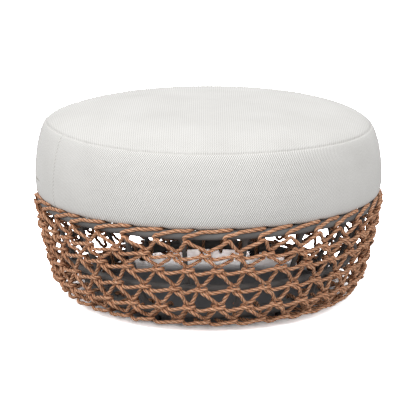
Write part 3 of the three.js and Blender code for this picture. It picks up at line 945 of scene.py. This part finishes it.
def cover_panel(name, low, high, from_column, to_column, sewn, tucked, draw):
    """One panel of the cover between two outline rows and two columns, thick, and dipped at its sewn edges."""
    height = panel_height(low, high)
    rows, up = places_between(0, height, height, sewn, panel_spacing_up)
    full = np.arange(len(outline))
    rows = np.interp(panel_lengths(low) + rows, panel_lengths(full), full)
    whole = to_column - from_column == form_columns
    if whole:
        columns = np.arange(form_columns)
    else:
        width = panel_run(low, high, to_column - from_column)
        columns, side = places_between(from_column, to_column, width, (True, True), panel_spacing_round)
    points, normals = cover_surface(rows, columns)
    dip = np.zeros(points.shape[:2])
    pucker = np.zeros(points.shape[:2])
    phase = draw.random() * 2 * math.pi
    azimuth = 2 * math.pi * columns / form_columns
    waves_round = round(2 * math.pi * row_radius(low, high) / pucker_length)
    waves = sum(np.sin(azimuth * round(waves_round * rate) + phase * rate) for rate in pucker_rates) / 3
    for edge, distance in ((0, up), (1, height - up)):
        if sewn[edge]:
            fade = np.exp(-distance / pucker_reach) * (1 - np.exp(-distance / seam_width))
            dip += seam_dip(distance)[:, None]
            pucker += fade[:, None] * waves[None, :]
    if not whole:
        dip = dip + seam_dip(side)[None, :] + seam_dip(width - side)[None, :]
        near_corner = np.minimum(side, width - side)[None, :]
        below = (height - up)[:, None]
        reach = np.hypot(below, near_corner) / corner_ripple_reach
        ripple = np.sin(2 * math.pi * (near_corner + corner_ripple_slant * below) / corner_ripple_length)
        if sewn[1]:
            ripple = corner_ripple_height / pucker_height * ripple
            pucker += ripple * np.exp(-reach ** 2) * np.minimum(1, below / corner_ripple_fade)
    points = points + normals * np.maximum(dip, -seam_deepest_share * seam_depth)[..., None]
    points = points + normals * (pucker_height * pucker)[..., None]
    if not all(sewn) and not whole:
        from_lip, closing_way = (up, -1) if sewn[1] else (height - up, 1)
        closing = closing_way * zip_closing(columns)[None, :]
        points[..., 2] += closing * np.exp(-from_lip[:, None] / zip_lip_reach)
    for edge, turned_in in ((0, -seam_allowance), (1, height + seam_allowance)):
        if tucked[edge]:
            rim = points[-edge] - seam_allowance * normals[-edge]
            points = np.insert(points, edge * len(points), rim, axis=0)
            up = np.insert(up, edge * len(up), turned_in)
    return panel_mesh(name, points, up, azimuth * row_radius(low, high), whole)


def weld(form):
    bmesh.ops.remove_doubles(form, verts=form.verts, dist=weld_distance)


def panel_mesh(name, grid, up, across, whole):
    """The panel as a thick cloth, with the cut cloth's own measures as its coordinates."""
    faces = grid_faces(*grid.shape[:2], closed=whole)
    cloth = grid[..., :2] if whole else np.stack(np.meshgrid(across, up), axis=-1)
    piece = make_mesh(name, grid.reshape(-1, 3), faces)
    layer = piece.data.uv_layers.new(name="cloth")
    layer.data.foreach_set("uv", cloth.reshape(-1, 2)[np.ravel(faces)].astype(np.float32).ravel())
    edit_mesh(piece, weld)
    apply_modifier(piece, "SOLIDIFY", thickness=cover_thickness, offset=-1)
    smooth_below(45)
    return piece


top_fabric = outdoor_fabric("cover_fabric_top", *top_weave_shares)
side_fabric = outdoor_fabric("cover_fabric_side", *side_weave_shares)
bottom_seam = bottom_seam_point * form_steps
top_seam = top_seam_point * form_steps
last_row = len(outline) - 1
zip_low = row_of_height(zip_height - zip_gap / 2)
zip_high = row_of_height(zip_height + zip_gap / 2)
front_columns = form_columns * front_boxing_angle / 360
cover_draw = random.Random(19)
cover_panels = [
    ("cover_bottom_cloth", "cover_bottom_panel", 0, bottom_seam, 0, form_columns, (False, True), (False, True)),
    ("cover_top_cloth", "cover_top_panel", top_seam, last_row, 0, form_columns, (True, False), (True, False)),
    ("cover_front_cloth", "cover_front_boxing", bottom_seam, top_seam, 0, front_columns, (True, True), (True, True)),
    ("cover_zip_lower_cloth", "cover_zip_panel_lower", bottom_seam, zip_low, front_columns, form_columns,
     (True, False), (True, True)),
    ("cover_zip_upper_cloth", "cover_zip_panel_upper", zip_high, top_seam, front_columns, form_columns,
     (False, True), (True, True)),
]
for name, node, low, high, from_column, to_column, sewn, tucked in cover_panels:
    panel = cover_panel(name, low, high, from_column, to_column, sewn, tucked, cover_draw)
    fabric = top_fabric if node in ("cover_top_panel", "cover_bottom_panel") else side_fabric
    keep(panel, fabric, "cushion", node)
    cut = panel_height(low, high) + seam_allowance * sum(tucked)
    if fabric is top_fabric:
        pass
    else:
        run = panel_run(low, high, to_column - from_column)

# Zip
# A coil zip closes the back of the boxing: a woven tape behind the gap, two rows of coils, a die-cast slider on
# them and a pull that swings on its pin.
tape_drop = 0.0016
tape_width = 0.013
coil_pitch = 0.0026
coil_width = 0.0046
coil_height = 0.0015
coil_lean_share = 0.12
coil_foot_share = 0.36
coil_top_share = 0.24
coil_top_taper = 2.6
tape_thickness = 0.0007
tape_columns = 145
zip_end_margin = 0.004
tape_colour = (0.74, 0.72, 0.67, 1)
tape_dark_colour = (0.50, 0.48, 0.44, 1)


def zip_chain():
    """Tape and coils along the back, as one sewn chain."""
    row_low = row_of_height(zip_height - tape_width / 2)
    row_high = row_of_height(zip_height + tape_width / 2)
    columns = np.linspace(front_columns, form_columns, tape_columns)
    places, normals = cover_surface(np.linspace(row_low, row_high, 3), columns)
    tape = places - normals * (tape_drop + cover_thickness)
    back = tape - normals * tape_thickness
    points = list(np.concatenate([tape, back[::-1]]).transpose(1, 0, 2).reshape(-1, 3))
    faces = tube_faces(tape_columns, 6)
    coil_columns = (zip_open_to_azimuth - boxing_seam_azimuth) / 360 * form_columns - front_columns
    length = 2 * math.pi * row_radius(row_low, row_high) * coil_columns / form_columns
    teeth = int((length - zip_end_margin) / coil_pitch)
    travelled = zip_end_margin + (np.arange(teeth) + 0.5) * coil_pitch
    middle = np.array([row_of_height(zip_height)])
    centres, outs = cover_surface(middle, front_columns + coil_columns * travelled / length)
    for i in range(teeth):
        out = Vector(outs[0, i])
        side = Vector((0, 0, 1)).cross(out).normalized()
        upward = out.cross(side)
        lean = (1 if i % 2 else -1) * coil_width * coil_lean_share
        base = Vector(centres[0, i]) - out * (tape_drop + cover_thickness)
        faces += [tuple(len(points) + v for v in face) for face in tube_faces(2, 4)]
        for level, half_length, half_width in (
            (0.0, coil_width / 2, coil_foot_share), (coil_height, coil_width / coil_top_taper, coil_top_share),
        ):
            for s, u in ((-1, -1), (1, -1), (1, 1), (-1, 1)):
                points.append(base + out * level + side * (s * half_width * coil_pitch)
                              + upward * (u * half_length + lean))
    chain = make_mesh("zip_coil_and_tape", points, faces)
    edit_mesh(chain, face_outwards)
    return chain


zip_thread = grained(
    "zip_tape_and_coil", 0.6, (1500, 2.0), [(0.35, tape_dark_colour), (0.6, tape_colour)], (0.0003, 0.6))
keep(zip_chain(), zip_thread, "cushion", "zip_chain")

# Zip slider and pull
# Die-cast zinc with a satin finish, mottled lighter and darker.
slider_edge = 0.0004
metal_colour = (0.56, 0.55, 0.53, 1)
metal_dark_colour = (0.34, 0.335, 0.33, 1)


def flatten(form):
    bmesh.ops.dissolve_limit(form, angle_limit=math.radians(2), verts=form.verts, edges=form.edges)


def softened(node, name):
    """A copy of a small metal node with its edges rounded."""
    piece = add_object(name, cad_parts[node].data.copy())
    edit_mesh(piece, weld, flatten)
    apply_modifier(piece, "BEVEL", width=slider_edge, segments=2, limit_method="ANGLE")
    smooth_below(40)
    return piece


metal = grained(
    "satin_zip_metal", 0.36, (700, 4.0, 0.6), [(0.3, metal_dark_colour), (0.7, metal_colour)],
    (0.0001, 0.4), others=[("Metallic", 0.9)])
for node, body in (("zip_slider", "slider"), ("zip_pull", "pull")):
    keep(softened(node, node + "_casting"), metal, body, node)

# The room
# A pale studio floor that runs off to white, with painted shade where the stool's own shade falls and a painted
# lighter patch towards the back that only the camera sees, a large soft key light from the left and a weaker one from
# the right.
camera_distance = 3.4
camera_height = 1.047
camera_pitch = 14.15
camera_lens = 130.81
sensor_width = 36
picture_width = 416
picture_middle = 208.4
floor_half_width = 40
floor_colour = (0.42, 0.42, 0.424, 1)
# Painted shade: the floor colour inside the stool's foot ring, fading out towards the back.
floor_shade_colour = (0.034, 0.034, 0.036, 1)
floor_shade_radii = (0.275, 0.315)
floor_shade_depths = (0.13, 0.22)
# Painted light: a paler floor colour towards the back, seen by the camera only.
floor_back_painted_light_colour = (0.95, 0.95, 0.97, 1)
floor_painted_light_depths = (0.17, 0.25)
floor_seen_layers = 8
zenith_light = 0.96
horizon_light = 0.20
lamp_softness = 45
lamps = [("key_light", 1.68, -54, 34), ("fill_light", 1.10, 50, 32)]


def studio_floor():
    floor = primitive("studio_floor", bpy.ops.mesh.primitive_plane_add, size=2 * floor_half_width)
    finish = Finish("pale_floor", 0.9, [("Specular IOR Level", 0.0)])
    place = finish.place()
    away = finish.add("VectorMath", {0: place}, operation="LENGTH").outputs["Value"]
    behind = finish.parts(place)["Y"]
    # Painted shade: the floor takes the shade colour inside the foot ring, except towards the back.
    lit = finish.maths("MAXIMUM", finish.rise(away, *floor_shade_radii), finish.rise(behind, *floor_shade_depths))
    colour = finish.mix("MIX", lit, floor_shade_colour, floor_colour)
    finish.colour(colour)
    # Painted light: for the camera the floor turns paler towards the back.
    seen_colour = finish.mix("MIX", finish.rise(behind, *floor_painted_light_depths), colour, floor_back_painted_light_colour)
    layers = [finish.add("BsdfDiffuse", {"Color": seen_colour}).outputs[0] for _ in range(floor_seen_layers)]
    lifted = layers[0]
    for layer in layers[1:]:
        lifted = finish.add("AddShader", {0: layer, 1: lifted}).outputs[0]
    seen = finish.add("LightPath").outputs["Is Camera Ray"]
    mixed = finish.add("MixShader", {"Fac": seen, 1: finish.surface.outputs[0], 2: lifted})
    finish.feed(finish.tree.nodes["Material Output"].inputs["Surface"], mixed.outputs[0])
    floor.data.materials.append(finish.material)


def studio_world():
    """White where the camera and gloss see it, and a sky that is brighter overhead for the light itself."""
    world = bpy.data.worlds.new("studio_air")
    world.use_nodes = True
    bpy.context.scene.world = world
    sky = Shading(world.node_tree)
    up = sky.parts(sky.add("TexCoord").outputs["Generated"])["Z"]
    light = sky.add("MapRange", {
        "Value": up, "From Min": 0.0, "From Max": 1.0, "To Min": horizon_light, "To Max": zenith_light})
    air = sky.tree.nodes["Background"]
    sky.feed(air.inputs["Color"], white)
    sky.feed(air.inputs["Strength"], light.outputs["Result"])
    plain = sky.add("Background", {"Color": white})
    path = sky.add("LightPath").outputs
    seen = sky.maths("MAXIMUM", path["Is Camera Ray"], path["Is Glossy Ray"])
    clear = sky.maths("MAXIMUM", seen, path["Is Transmission Ray"])
    mixed = sky.add("MixShader", {"Fac": clear, 1: air.outputs[0], 2: plain.outputs[0]})
    sky.feed(sky.tree.nodes["World Output"].inputs["Surface"], mixed.outputs[0])


def studio_sun(name, strength, azimuth, elevation):
    light = bpy.data.lights.new(name, "SUN")
    light.energy = strength
    light.angle = math.radians(lamp_softness)
    lamp = add_object(name, light)
    above = math.radians(elevation)
    source = at(math.cos(above), azimuth, math.sin(above))
    lamp.rotation_euler = source.to_track_quat("Z", "Y").to_euler()


def studio_camera():
    view = bpy.data.cameras.new("photo_view")
    view.sensor_width = sensor_width
    view.lens = camera_lens
    view.shift_x = (picture_width / 2 - picture_middle) / picture_width
    view.clip_end = 200
    camera = add_object("photo_view", view)
    camera.location = (0, -camera_distance, camera_height)
    camera.rotation_euler = (math.radians(90 - camera_pitch), 0, 0)
    bpy.context.scene.camera = camera


studio_floor()
studio_world()
for lamp in lamps:
    studio_sun(*lamp)
studio_camera()
bpy.context.scene.view_settings.view_transform = "Standard"
